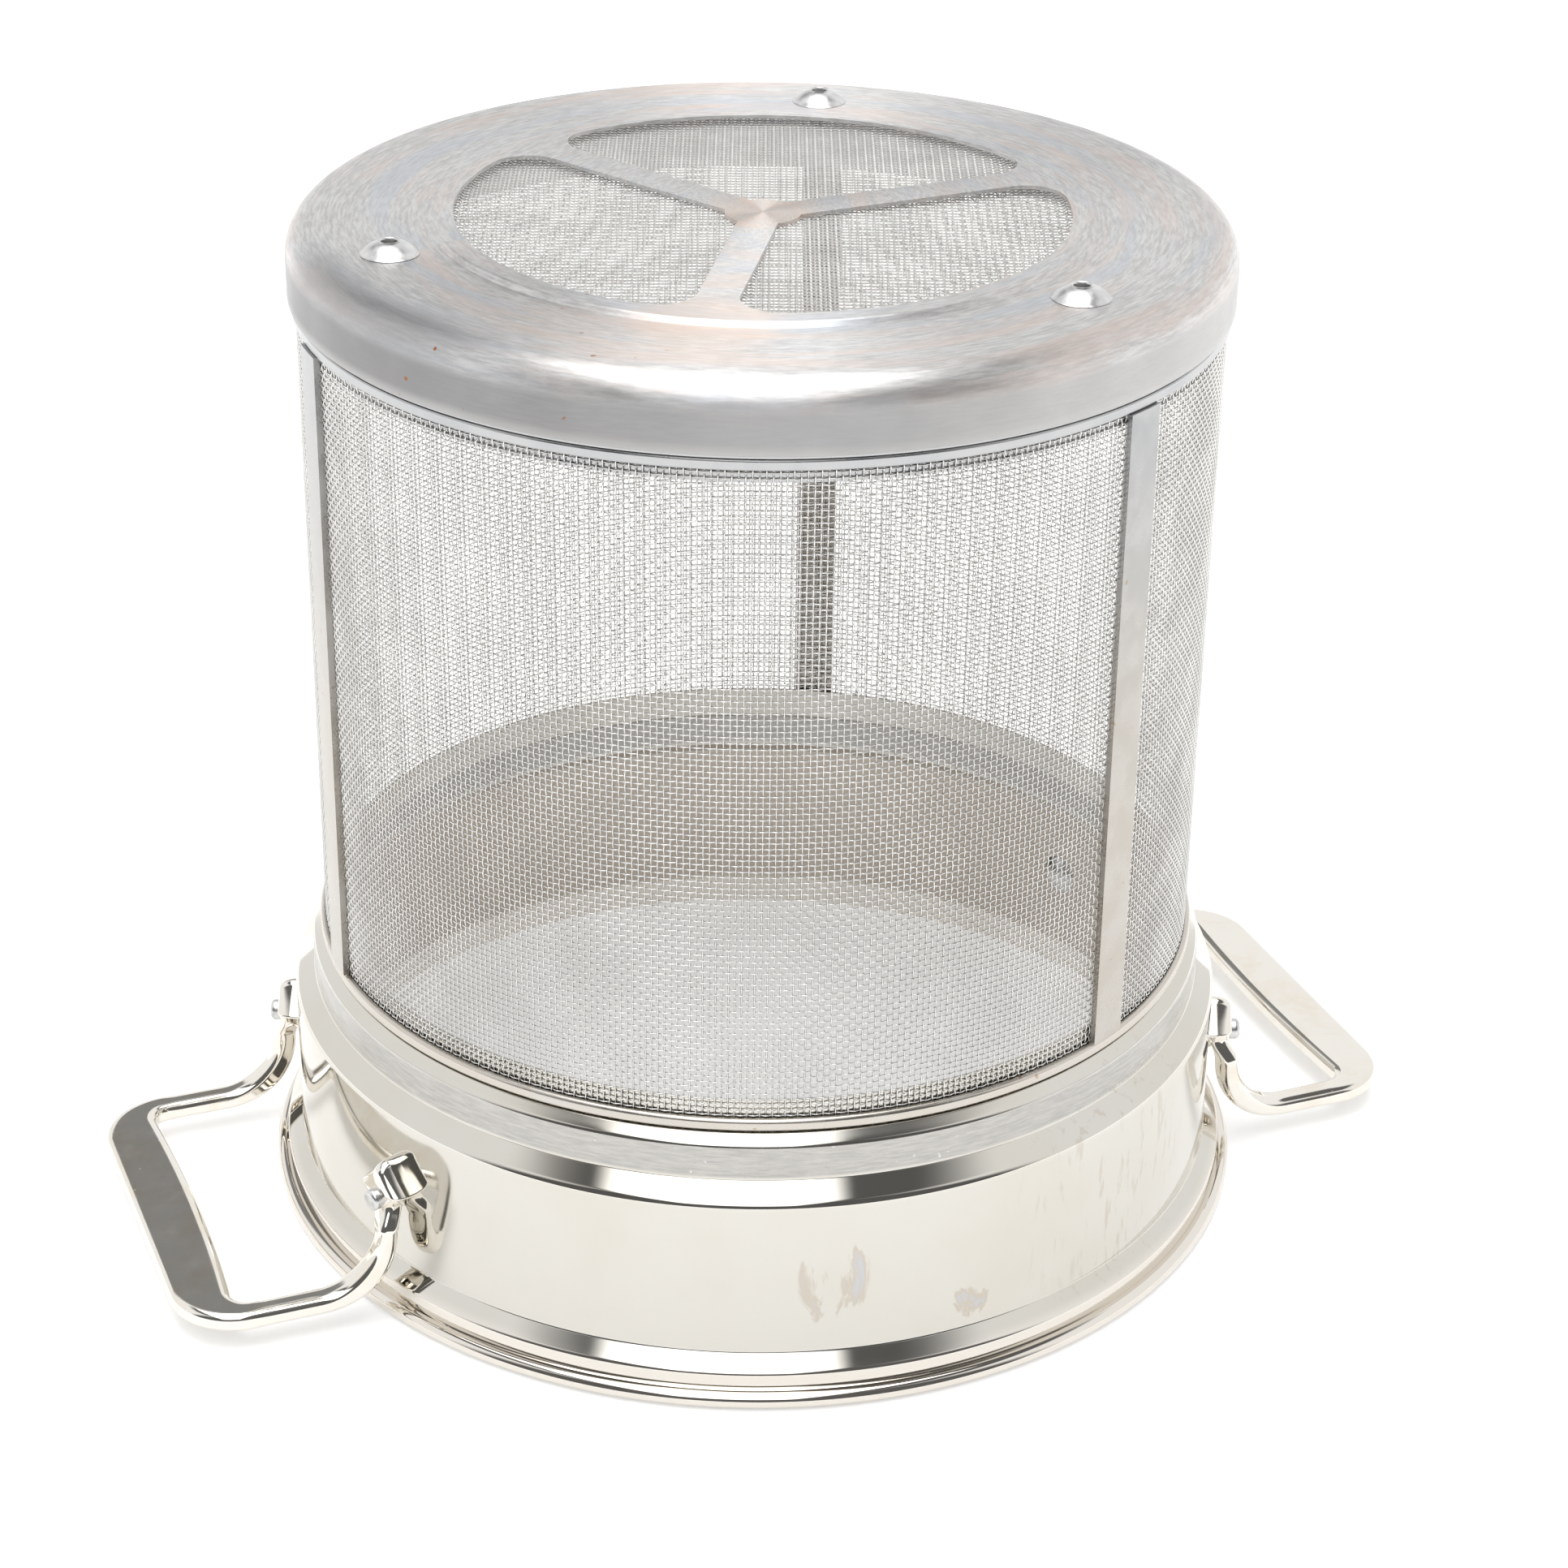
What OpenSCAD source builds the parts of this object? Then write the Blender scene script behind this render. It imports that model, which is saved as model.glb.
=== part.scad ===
// Stock-pot strainer basket, standing on its rim: a polished collar with two loop handles,
// a woven-wire wall held by hoops and stay strips, and a stamped base cap over a wire disc.
// The origin is on the axis in the plane of the rim, +Z is up towards the base cap, and the
// handles lie along X.

/* [Body] */
// Outside diameter of the collar's plain wall
wall_d = 239.6; // [200:0.2:300]
// Height from the rim to the flat ring of the base cap
body_h = 256; // [170:1:330]
// Thickness of the collar and cap sheet
sheet_t = 0.9; // [0.7:0.1:1.1]

/* [Collar] */
// Height of the crease where the sloped seat leaves the spigot
seat_z = 57.8; // [54:0.1:75]
// How far the wall stands outside the spigot
seat_w = 5.0; // [4:0.1:7]
// How far the sloped seat falls on its way out to the wall
seat_drop = 4.4; // [3.5:0.1:5.5]
// Height of the shoulder above the seat's crease
spigot_h = 11.5; // [10:0.1:16]
// Width of the shoulder outside the wire wall
shoulder_w = 3.5; // [3.2:0.1:4.5]
// How far the sloped edge of the shoulder falls
shoulder_drop = 2.5; // [2:0.1:3]
// Height of the neck inside the wire wall
neck_h = 7.8; // [6:0.1:20]
// How far the lip stands out from the wall
lip_w = 4.1; // [3.5:0.1:5]
// Height of the lip's upper edge
lip_z = 8.8; // [8:0.1:12]
// Height of the sloped flare between the wall and the lip
flare_h = 3; // [2.5:0.1:4]
// How far the rolled rim stands out from the lip
bead_w = 3.1; // [2.6:0.1:4]
// Height of the rolled rim
bead_h = 3.6; // [3:0.1:4.4]

/* [Wire mesh and bands] */
// Diameter of the mesh wire
wire_d = 0.42; // [0.3:0.02:0.6]
// Height of the lower hoop
lower_hoop_h = 3.0; // [2:0.1:5]
// Thickness of the lower hoop
lower_hoop_t = 1.35; // [1:0.05:2]
// Thickness of the upper hoop
upper_hoop_t = 0.85; // [0.7:0.05:1.2]
// Height of the upper hoop
upper_hoop_h = 12.6; // [8:0.1:13]
// Width of a stay strip
strip_w = 10.5; // [6:0.5:16]
// Thickness of a stay strip
strip_t = 1.5; // [1:0.1:2]
// Thickness of the clamp ring
clamp_t = 1.0; // [0.8:0.1:1.2]
// Height of the clamp ring's band
clamp_h = 21.8; // [18:0.1:30]
// Width of the clamp ring's flange
clamp_flange_w = 26; // [20:0.5:30]

/* [Base cap] */
// Height of the cap's skirt
skirt_h = 16.7; // [14:0.1:22]
// Outside radius of the cap's rounded edge
cap_edge_r = 7.3; // [6:0.1:8]
// Radius of the raised centre
centre_r = 79.7; // [76:0.1:84]
// Height of the raised centre
centre_rise = 1.2; // [0.5:0.1:2]
// Outer radius of the three windows
window_r = 73.3; // [60:0.1:74]
// Radius of the windows' outer corners
window_corner_r = 9.5; // [3:0.1:10]
// Width of a spoke between two windows
spoke_w = 9.6; // [6:0.1:14]
// Radius of the hub where the spokes meet
hub_r = 9.2; // [8:0.1:16]

/* [Cap rivets, which are the feet] */
// Diameter of the domed head
foot_d = 13.9; // [12:0.1:15]
// Height of the domed head
foot_h = 3.3; // [2:0.1:5]
// Diameter of the hole left by the pulling pin
foot_hole_d = 3.8; // [3:0.1:4.2]
// Diameter of the shank
foot_shank_d = 6.4; // [6:0.1:7]
// Radius of the circle that the cap rivets stand on
foot_ring_r = 91.6; // [90:0.1:94]

/* [Handles] */
// How far a handle reaches out from the wall
handle_reach = 47.2; // [42:0.1:60]
// Overall width of a handle
handle_w = 97; // [94:0.5:104]
// Width of the flat grip
grip_w = 14.1; // [12:0.1:20]
// How far the grip's inner edge bows towards the wall
grip_bow = 1.3; // [1:0.1:3]
// Thickness of the grip and arms
handle_t = 5.0; // [4.5:0.1:6]
// Height of the grip's underside above the rim plane
grip_z = 5.0; // [4.8:0.1:8]
// Width of an arm
arm_w = 6.8; // [5:0.1:8]
// Radius of the arm's bend at its middle
arm_bend_r = 14.6; // [12:0.1:16]
// Outer corner radius of the grip
grip_corner_r = 14; // [10:0.5:18]
// Inner corner radius of the grip
grip_inner_r = 4.5; // [2:0.1:6]
// Distance of a rivet from the handle's middle, as an angle round the wall
pad_angle = 22.2; // [21.6:0.1:22.8]
// Height of the pad's middle
pad_z = 34.9; // [33:0.1:37]
// Half the width of the diamond pad
pad_half_w = 7.9; // [7:0.1:9]
// Half the height of the diamond pad
pad_half_h = 8.9; // [8:0.1:10]
// Thickness of the pad
pad_t = 6.3; // [5.5:0.1:8]
// Width of the stem that joins an arm to its pad
stem_w = 6.0; // [5:0.1:7]
// Thickness of the stem
stem_t = 5.0; // [4:0.1:5.5]
// Diameter of a handle rivet
rivet_d = 5.5; // [4.8:0.1:6]
// How far a rivet stands out from the pad
rivet_out = 2.5; // [1.5:0.1:3]
// Diameter of a rivet's head inside the collar
rivet_head_d = 11; // [9:0.1:12]
// Height of a rivet's head inside the collar
rivet_head_h = 2.2; // [1.5:0.1:3]

/* [Hidden] */
$fn = 128;

// Gap round each rivet shank
bore_gap = 0.05;
// How far a cutting shape runs past the surface it opens
cut = 1;

wall_r = wall_d / 2;
spigot_r = wall_r - seat_w;
mesh_r = spigot_r - shoulder_w;
mesh_t = 2 * wire_d;
neck_r = mesh_r - mesh_t;
lip_r = wall_r + lip_w;
bead_r = lip_r + bead_w;
shoulder_z = seat_z + spigot_h;
neck_z = shoulder_z + neck_h;

hoop_gap = 0.6;
lower_hoop_z = shoulder_z + hoop_gap;
mesh_gap = 0.3;
shoulder_land = 0.7;
mesh_z = shoulder_z + mesh_gap;
strip_z = lower_hoop_z + lower_hoop_h;
skirt_z = body_h - skirt_h;
hoop_shows = 3.7;
upper_hoop_z = skirt_z - hoop_shows;

cap_inner_r = mesh_r + upper_hoop_t;
cap_r = cap_inner_r + sheet_t;
cap_flat_r = cap_r - cap_edge_r;
base_mesh_z = body_h - sheet_t - mesh_t;
flange_z = base_mesh_z - clamp_t;
clamp_r = neck_r;
clamp_edge_r = 5;
mesh_stop = 4;
side_mesh_top = base_mesh_z - mesh_stop;

crease_w = 1.2;
raised_land = 12;

foot_angles = [-60, 60, 180];
strip_angles = [-61.6, 60.6, 181.2];
spoke_angles = [0, 120, 240];
rivet_angles = [pad_angle, -pad_angle, 180 + pad_angle, 180 - pad_angle];

tail_d = 9.6;
tail_h = 1.8;
tail_bevel = 0.8;
pin_d = foot_hole_d - 2 * bore_gap;
pin_top_gap = 2.6;
pin_head_h = 1.6;
pin_head_lip = 0.6;

grip_out = wall_r + handle_reach;
grip_in = grip_out - grip_w;
arm_y = (handle_w - arm_w) / 2;
arm_mid_z = grip_z + handle_t / 2;
leg_inset = 5.5;
leg_x = wall_r - leg_inset;
bend_top_z = arm_mid_z + arm_bend_r;
stem_top_z = pad_z - 5;
pad_root = 4;
pad_tip_r = 1.2;
pad_r = wall_r + pad_t;
rivet_drop = 2.0;
rivet_z = pad_z - rivet_drop;
rivet_dome_r = 1.3;

steel_bright = "gainsboro";
steel_satin = "silver";
steel_grey = "darkgray";
steel_dark = "dimgray";

// Points along an arc round c, from angle a0 to a1
function arc(c, r, a0, a1, steps) =
    [for (i = [0:steps]) let (a = a0 + (a1 - a0) * i / steps) c + r * [cos(a), sin(a)]];

function unit(v) = v / norm(v);

// The arc that rounds the corner b between a and c
function corner(a, b, c, r, steps = 6) =
    let (
        u = unit(a - b),
        v = unit(c - b),
        half = acos(u * v) / 2,
        centre = b + unit(u + v) * r / sin(half),
        from = b + u * r / tan(half) - centre,
        to = b + v * r / tan(half) - centre,
        a0 = atan2(from.y, from.x),
        turn = atan2(from.x * to.y - from.y * to.x, from * to)
    )
    arc(centre, r, a0, a0 + turn, steps);

// A closed outline with its corners rounded: each point is [x, y, radius]
function rounded(pts, steps = 6) =
    let (n = len(pts), xy = [for (p = pts) [p.x, p.y]])
    [for (i = [0:n - 1])
        each (pts[i][2] > 0
            ? corner(xy[(i + n - 1) % n], xy[i], xy[(i + 1) % n], pts[i][2], steps)
            : [xy[i]])];

// The same corners in the opposite order
function backwards(pts) = [for (i = [len(pts) - 1:-1:0]) pts[i]];

// The inner side of a bent sheet, from its outer corners [x, y, radius] listed from top to bottom
function inner_side(pts, t) =
    let (last = len(pts) - 1)
    [for (i = [0:last])
        let (
            here = [pts[i].x, pts[i].y],
            from = here - [pts[max(i - 1, 0)].x, pts[max(i - 1, 0)].y],
            to = [pts[min(i + 1, last)].x, pts[min(i + 1, last)].y] - here,
            u = unit(i > 0 ? from : to),
            v = unit(i < last ? to : from),
            n = unit([u.y, -u.x] + [v.y, -v.x]),
            p = here + n * t / (n * [u.y, -u.x]),
            r = pts[i][2] + t * sign(u.x * v.y - u.y * v.x)
        )
        [p.x, p.y, pts[i][2] > 0 ? max(r, 0.2) : 0]];

// A ring with a rectangular section
module ring(r_in, r_out, z, h, angle = 360) {
    rotate_extrude(angle = angle)
        translate([r_in, z])
            square([r_out - r_in, h]);
}

module at_angle(a, r) {
    rotate(a)
        translate([r, 0, 0])
            children();
}

// Points along +X from the axis out through the wall, at a handle rivet
module at_rivet(a) {
    rotate(a)
        translate([0, 0, rivet_z])
            rotate([0, 90, 0])
                children();
}

// The sheet's section from the neck down over the shoulder, spigot, seat and wall to the rolled
// rim, whose underside is a narrow flat
module collar_section() {
    sheet = [
        [neck_r, neck_z, 0],
        [neck_r, shoulder_z, 0.5],
        [mesh_r + shoulder_land, shoulder_z, 1.0],
        [spigot_r, shoulder_z - shoulder_drop, 1.6],
        [spigot_r, seat_z, 0.3],
        [wall_r, seat_z - seat_drop, 2.4],
        [wall_r, lip_z + flare_h, 0.7],
        [lip_r, lip_z, 1.5],
        [lip_r, bead_h - 0.2, 0]
    ];
    bead = [
        [lip_r + 0.2, bead_h, 0],
        [bead_r, bead_h, 1.8],
        [bead_r, 0, 1.3],
        [lip_r - 0.2, 0, 0.8]
    ];
    polygon(rounded(concat(sheet, bead, backwards(inner_side(sheet, sheet_t)))));
}

module collar() {
    color(steel_bright)
        difference() {
            rotate_extrude()
                collar_section();
            for (a = rivet_angles)
                at_rivet(a)
                    cylinder(d = rivet_d + 2 * bore_gap, h = bead_r);
        }
}

module side_mesh() {
    color(steel_grey)
        ring(neck_r, mesh_r, mesh_z, side_mesh_top - mesh_z);
}

module lower_hoop() {
    hoop_r = mesh_r + lower_hoop_t;
    top = lower_hoop_z + lower_hoop_h;
    color(steel_satin)
        rotate_extrude()
            polygon(rounded([
                [mesh_r, lower_hoop_z, 0],
                [hoop_r, lower_hoop_z, 0.9],
                [hoop_r, top, 0.9],
                [mesh_r, top, 0]
            ]));
}

module upper_hoop() {
    color(steel_satin)
        ring(mesh_r, cap_inner_r, upper_hoop_z, upper_hoop_h);
}

// Flat strip bent to the wire wall, butted between the two hoops
module stay_strip(a) {
    spread = 2 * asin(strip_w / 2 / mesh_r);
    color(steel_satin)
        rotate(a - spread / 2)
            ring(mesh_r, mesh_r + strip_t, strip_z, upper_hoop_z - strip_z, spread);
}

// Band inside the wire wall, with a flange that grips the wire disc under the cap
module clamp_ring() {
    t = clamp_t;
    flange_r = clamp_r - clamp_flange_w;
    color(steel_satin)
        difference() {
            rotate_extrude()
                polygon(rounded([
                    [flange_r, base_mesh_z, 0],
                    [clamp_r, base_mesh_z, clamp_edge_r],
                    [clamp_r, base_mesh_z - clamp_h, 0],
                    [clamp_r - t, base_mesh_z - clamp_h, 0],
                    [clamp_r - t, flange_z, clamp_edge_r - t],
                    [flange_r, flange_z, 0]
                ]));
            foot_bores();
        }
}

module base_mesh() {
    color(steel_grey)
        difference() {
            ring(0, clamp_r - clamp_edge_r, base_mesh_z, mesh_t);
            foot_bores();
        }
}

module foot_bores() {
    for (a = foot_angles)
        at_angle(a, foot_ring_r)
            translate([0, 0, flange_z - cut])
                cylinder(d = foot_shank_d + 2 * bore_gap, h = body_h - flange_z + 2 * cut);
}

// One window: hub arc, spoke edge, rounded corner and outer arc between two spokes
function window_outline() =
    let (
        half = spoke_w / 2,
        hub_a = asin(half / hub_r),
        fillet_ring = window_r - window_corner_r,
        fillet_a = asin((half + window_corner_r) / fillet_ring),
        first = fillet_ring * [cos(fillet_a), sin(fillet_a)],
        last = fillet_ring * [cos(120 - fillet_a), sin(120 - fillet_a)]
    )
    concat(
        arc(first, window_corner_r, -90, fillet_a, 8),
        arc([0, 0], window_r, fillet_a, 120 - fillet_a, 32),
        arc(last, window_corner_r, 120 - fillet_a, 210, 8),
        arc([0, 0], hub_r, 120 - hub_a, hub_a, 8)
    );

module base_cap() {
    t = sheet_t;
    top = body_h;
    raised = body_h + centre_rise;
    raised_r = centre_r - raised_land;
    color(steel_bright)
        difference() {
            rotate_extrude()
                polygon(concat(
                    [[0, top - t], [0, top], [hub_r, top]],
                    rounded([
                        [raised_r, raised, 0],
                        [centre_r - crease_w, raised, 1.0],
                        [centre_r, top, 0],
                        [cap_r, top, cap_edge_r],
                        [cap_r, skirt_z, 0],
                        [cap_r - t, skirt_z, 0],
                        [cap_r - t, top - t, cap_edge_r - t],
                        [centre_r - 2 * t, top - t, 0],
                        [centre_r - 3 * t, raised - t, 0],
                        [raised_r, raised - t, 0]
                    ]),
                    [[hub_r, top - t]]
                ));
            for (a = spoke_angles)
                rotate(a)
                    translate([0, 0, body_h - 2 * cut])
                        linear_extrude(4 * cut)
                            polygon(window_outline());
            foot_bores();
        }
}

// Blind rivet: domed head on the cap, hollow shank and a set tail under the clamp ring
module cap_rivet(a) {
    shank_r = foot_shank_d / 2;
    dome_r = (pow(foot_d / 2, 2) + pow(foot_h, 2)) / (2 * foot_h);
    dome_half = asin(foot_d / 2 / dome_r);
    color(steel_bright)
        at_angle(a, foot_ring_r)
            difference() {
                rotate_extrude()
                    polygon(concat(
                        arc([0, body_h + foot_h - dome_r], dome_r, 90 - dome_half, 90, 10),
                        [
                            [0, flange_z - tail_h],
                            [tail_d / 2 - tail_bevel, flange_z - tail_h],
                            [tail_d / 2, flange_z - tail_h + tail_bevel],
                            [tail_d / 2, flange_z],
                            [shank_r, flange_z],
                            [shank_r, body_h]
                        ]
                    ));
                translate([0, 0, flange_z - tail_h - cut])
                    cylinder(d = foot_hole_d, h = body_h - flange_z + foot_h + tail_h + 2 * cut);
            }
}

// Stub of the pulling pin that stays inside a blind rivet, with its head below the tail
module rivet_pin(a) {
    shank_r = pin_d / 2;
    head_r = shank_r + pin_head_lip;
    head_top = flange_z - tail_h;
    pin_top = body_h + foot_h - pin_top_gap;
    color(steel_dark)
        at_angle(a, foot_ring_r)
            rotate_extrude()
                polygon([
                    [0, head_top - pin_head_h],
                    [shank_r, head_top - pin_head_h],
                    [head_r, head_top - pin_head_h / 2],
                    [head_r, head_top],
                    [shank_r, head_top],
                    [shank_r, pin_top],
                    [0, pin_top]
                ]);
}

// Flat grip seen from above, with its inner edge bowed towards the wall
module grip_plate() {
    half = handle_w / 2;
    inner_half = half - arm_w;
    bow_r = (pow(inner_half - grip_inner_r, 2) + pow(grip_bow, 2)) / (2 * grip_bow);
    bow_half = asin((inner_half - grip_inner_r) / bow_r);
    translate([0, 0, grip_z])
        linear_extrude(handle_t)
            polygon(concat(
                rounded([
                    [grip_in - grip_inner_r, half, 0],
                    [grip_out, half, grip_corner_r],
                    [grip_out, -half, grip_corner_r],
                    [grip_in - grip_inner_r, -half, 0]
                ]),
                [[grip_in - grip_inner_r, -inner_half]],
                arc([grip_in - grip_inner_r, -inner_half + grip_inner_r], grip_inner_r, -90, 0, 6),
                arc([grip_in - grip_bow + bow_r, 0], bow_r, 180 + bow_half, 180 - bow_half, 12),
                arc([grip_in - grip_inner_r, inner_half - grip_inner_r], grip_inner_r, 0, 90, 6),
                [[grip_in - grip_inner_r, inner_half]]
            ));
}

// Arm seen from the side: level from the grip, then bent up beside the wall
module arm(y) {
    half = handle_t / 2;
    bend = [leg_x + arm_bend_r, bend_top_z];
    translate([0, y + arm_w / 2, 0])
        rotate([90, 0, 0])
            linear_extrude(arm_w)
                polygon(concat(
                    [[grip_in - grip_inner_r, arm_mid_z - half]],
                    arc(bend, arm_bend_r + half, -90, -180, 10),
                    arc(bend, arm_bend_r - half, -180, -90, 10),
                    [[grip_in - grip_inner_r, arm_mid_z + half]]
                ));
}

// Stem from the top of a bend up into its pad, turning to face straight out from the wall
module stem(side) {
    slab = 0.5;
    hull() {
        translate([leg_x - handle_t / 2, side * arm_y - arm_w / 2, bend_top_z - slab])
            cube([handle_t, arm_w, slab]);
        rotate(side * pad_angle)
            translate([wall_r - cut, -stem_w / 2, stem_top_z - slab])
                cube([stem_t + cut, stem_w, slab]);
    }
}

// Diamond pad against the wall
module pad(a) {
    rotate(a)
        translate([wall_r - pad_root, 0, pad_z])
            rotate([90, 0, 90])
                linear_extrude(pad_t + pad_root)
                    polygon(rounded([
                        [0, pad_half_h, pad_tip_r],
                        [-pad_half_w, 0, pad_tip_r],
                        [0, -pad_half_h, pad_tip_r],
                        [pad_half_w, 0, pad_tip_r]
                    ]));
}

module handle(turn) {
    color(steel_bright)
        rotate(turn)
            difference() {
                union() {
                    grip_plate();
                    for (side = [-1, 1]) {
                        arm(side * arm_y);
                        stem(side);
                        pad(side * pad_angle);
                    }
                }
                cylinder(r = wall_r, h = body_h);
                for (side = [-1, 1])
                    at_rivet(side * pad_angle)
                        cylinder(d = rivet_d + 2 * bore_gap, h = grip_out);
            }
}

// Solid rivet: low domed head inside the collar, shank, and a rounded end outside the pad
module handle_rivet(a) {
    shank_r = rivet_d / 2;
    head_r = rivet_head_d / 2;
    seat = sqrt(pow(wall_r - sheet_t, 2) - pow(head_r, 2));
    end = pad_r + rivet_out;
    dome_r = (pow(head_r, 2) + pow(rivet_head_h, 2)) / (2 * rivet_head_h);
    dome_half = asin(head_r / dome_r);
    color(steel_bright)
        at_rivet(a)
            rotate_extrude()
                polygon(concat(
                    arc([0, seat - rivet_head_h + dome_r], dome_r, -90, dome_half - 90, 8),
                    [[shank_r, seat]],
                    arc([shank_r - rivet_dome_r, end - rivet_dome_r], rivet_dome_r, 0, 90, 6),
                    [[0, end]]
                ));
}

collar();
lower_hoop();
side_mesh();
upper_hoop();
clamp_ring();
base_mesh();
base_cap();
stay_strip(strip_angles[0]);  // stay_strip_1
stay_strip(strip_angles[1]);  // stay_strip_2
stay_strip(strip_angles[2]);  // stay_strip_3
cap_rivet(foot_angles[0]);  // cap_rivet_1
cap_rivet(foot_angles[1]);  // cap_rivet_2
cap_rivet(foot_angles[2]);  // cap_rivet_3
rivet_pin(foot_angles[0]);  // rivet_pin_1
rivet_pin(foot_angles[1]);  // rivet_pin_2
rivet_pin(foot_angles[2]);  // rivet_pin_3
handle(0);  // handle_right
handle(180);  // handle_left
handle_rivet(rivet_angles[0]);  // handle_rivet_1
handle_rivet(rivet_angles[1]);  // handle_rivet_2
handle_rivet(rivet_angles[2]);  // handle_rivet_3
handle_rivet(rivet_angles[3]);  // handle_rivet_4
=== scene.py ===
import math

import bmesh
import bpy
import numpy as np
from mathutils import Matrix, Vector


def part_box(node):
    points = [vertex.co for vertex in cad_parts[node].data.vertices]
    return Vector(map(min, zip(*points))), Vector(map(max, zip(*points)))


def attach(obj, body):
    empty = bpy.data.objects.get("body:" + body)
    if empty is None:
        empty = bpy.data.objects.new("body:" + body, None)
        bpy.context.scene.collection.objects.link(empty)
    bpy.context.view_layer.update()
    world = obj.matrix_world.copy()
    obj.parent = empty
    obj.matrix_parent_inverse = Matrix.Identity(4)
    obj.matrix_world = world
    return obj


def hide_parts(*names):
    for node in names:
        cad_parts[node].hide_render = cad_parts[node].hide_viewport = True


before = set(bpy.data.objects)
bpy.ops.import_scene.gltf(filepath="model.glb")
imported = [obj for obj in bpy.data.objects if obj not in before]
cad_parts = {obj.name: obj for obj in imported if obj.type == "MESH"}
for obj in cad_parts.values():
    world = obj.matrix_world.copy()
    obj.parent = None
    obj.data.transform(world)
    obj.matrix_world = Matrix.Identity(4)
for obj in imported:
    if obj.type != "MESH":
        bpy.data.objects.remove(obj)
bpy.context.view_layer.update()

# Stock-pot strainer basket, upside down on its rolled rim. Lengths are metres, +Z is up towards
# the base cap, the axis is at the origin and the handles lie along X. Angles round the axis are
# in degrees from +X towards +Y.
MM = 0.001

# ---- Measures from the frame's boxes ----
BEAD_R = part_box("collar")[1].x
NECK_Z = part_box("collar")[1].z
MESH_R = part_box("side_mesh")[1].x
MESH_Z0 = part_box("side_mesh")[0].z
MESH_Z1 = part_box("side_mesh")[1].z
CAP_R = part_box("base_cap")[1].x
SKIRT_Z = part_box("base_cap")[0].z
CAP_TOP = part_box("base_cap")[1].z
DISC_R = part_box("base_mesh")[1].x
DISC_Z0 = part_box("base_mesh")[0].z
DISC_Z1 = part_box("base_mesh")[1].z

# ---- Measures of the visible shape ----
SHEET_T = 0.9 * MM
WIRE_D = (DISC_Z1 - DISC_Z0) / 2
WIRE_R = 0.48 * WIRE_D
WIRE_PITCH = 1.47 * MM
CENTRE_RISE = 1.2 * MM
BODY_H = CAP_TOP - CENTRE_RISE
WALL_R = BEAD_R - 7.2 * MM
SPIGOT_R = WALL_R - 5.0 * MM
SEAT_Z = NECK_Z - 19.3 * MM
SHOULDER_Z = NECK_Z - 7.8 * MM
NECK_R = MESH_R - 2 * WIRE_D
HUB_R = 9.2 * MM
PAD_ANGLE = 22.2
RIVET_ANGLES = (PAD_ANGLE, -PAD_ANGLE, 180 + PAD_ANGLE, 180 - PAD_ANGLE)
SPOKE_ANGLES = (0, 120, 240)
FOOT_NODES = [f"cap_rivet_{i}" for i in (1, 2, 3)]

# ---- Edges sharper than these angles stay sharp when a piece is shaded smooth ----
SHEET_SMOOTH = 32
CAST_SMOOTH = 34

# The photograph was taken from this far round the basket, counted from -Y.
CAMERA_TURN = -21.1


# ---- Outlines ----
def arc(centre, radius, start, end, steps):
    """Points on an arc round centre, between two angles in degrees."""
    angles = np.radians(np.linspace(start, end, steps + 1))
    return [(centre[0] + radius * math.cos(a), centre[1] + radius * math.sin(a)) for a in angles]


def corner(before, at, after, radius, steps):
    """The arc that rounds the corner `at`, with a point a little way along each straight side."""
    u = (Vector(before) - Vector(at)).normalized()
    v = (Vector(after) - Vector(at)).normalized()
    half = u.angle(v) / 2
    centre = Vector(at) + (u + v).normalized() * radius / math.sin(half)
    reach = radius / math.tan(half)
    first = Vector(at) + u * reach - centre
    last = Vector(at) + v * reach - centre
    turn = math.atan2(first.x * last.y - first.y * last.x, first.dot(last))
    start = math.atan2(first.y, first.x)
    angles = [start + turn * i / steps for i in range(steps + 1)]
    points = [centre + radius * Vector((math.cos(a), math.sin(a))) for a in angles]
    lead = 0.12 * radius
    points = [points[0] + u * lead] + points + [points[-1] + v * lead]
    return [tuple(point) for point in points]


def rounded(points, steps=8, closed=True):
    """An outline with rounded corners: each point is (x, y, corner radius) or a plain (x, y)."""
    out = []
    count = len(points)
    for i, point in enumerate(points):
        inside = closed or 0 < i < count - 1
        if len(point) == 3 and point[2] > 0 and inside:
            before = points[(i - 1) % count][:2]
            after = points[(i + 1) % count][:2]
            out += corner(before, point[:2], after, point[2], steps)
        else:
            out.append(tuple(point[:2]))
    return out


# ---- Meshes ----
def new_piece(name, verts, faces, material, smooth_angle=SHEET_SMOOTH):
    """A mesh object from arrays of corner points and faces of equal size, shaded smooth.

    Edges sharper than smooth_angle stay sharp; 0 leaves every edge smooth.
    """
    faces = np.asarray(faces, dtype=np.int32)
    mesh = bpy.data.meshes.new(name)
    mesh.vertices.add(len(verts))
    mesh.vertices.foreach_set("co", np.asarray(verts, dtype=np.float32).ravel())
    mesh.loops.add(faces.size)
    mesh.loops.foreach_set("vertex_index", faces.ravel())
    mesh.polygons.add(len(faces))
    starts = np.arange(0, faces.size, faces.shape[1], dtype=np.int32)
    mesh.polygons.foreach_set("loop_start", starts)
    mesh.update(calc_edges=True)
    mesh.validate()
    mesh.polygons.foreach_set("use_smooth", np.ones(len(faces), dtype=bool))
    if smooth_angle:
        mesh.set_sharp_from_angle(angle=math.radians(smooth_angle))
    piece = bpy.data.objects.new(name, mesh)
    bpy.context.scene.collection.objects.link(piece)
    mesh.materials.append(material)
    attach(piece, "root")
    return piece


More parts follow.
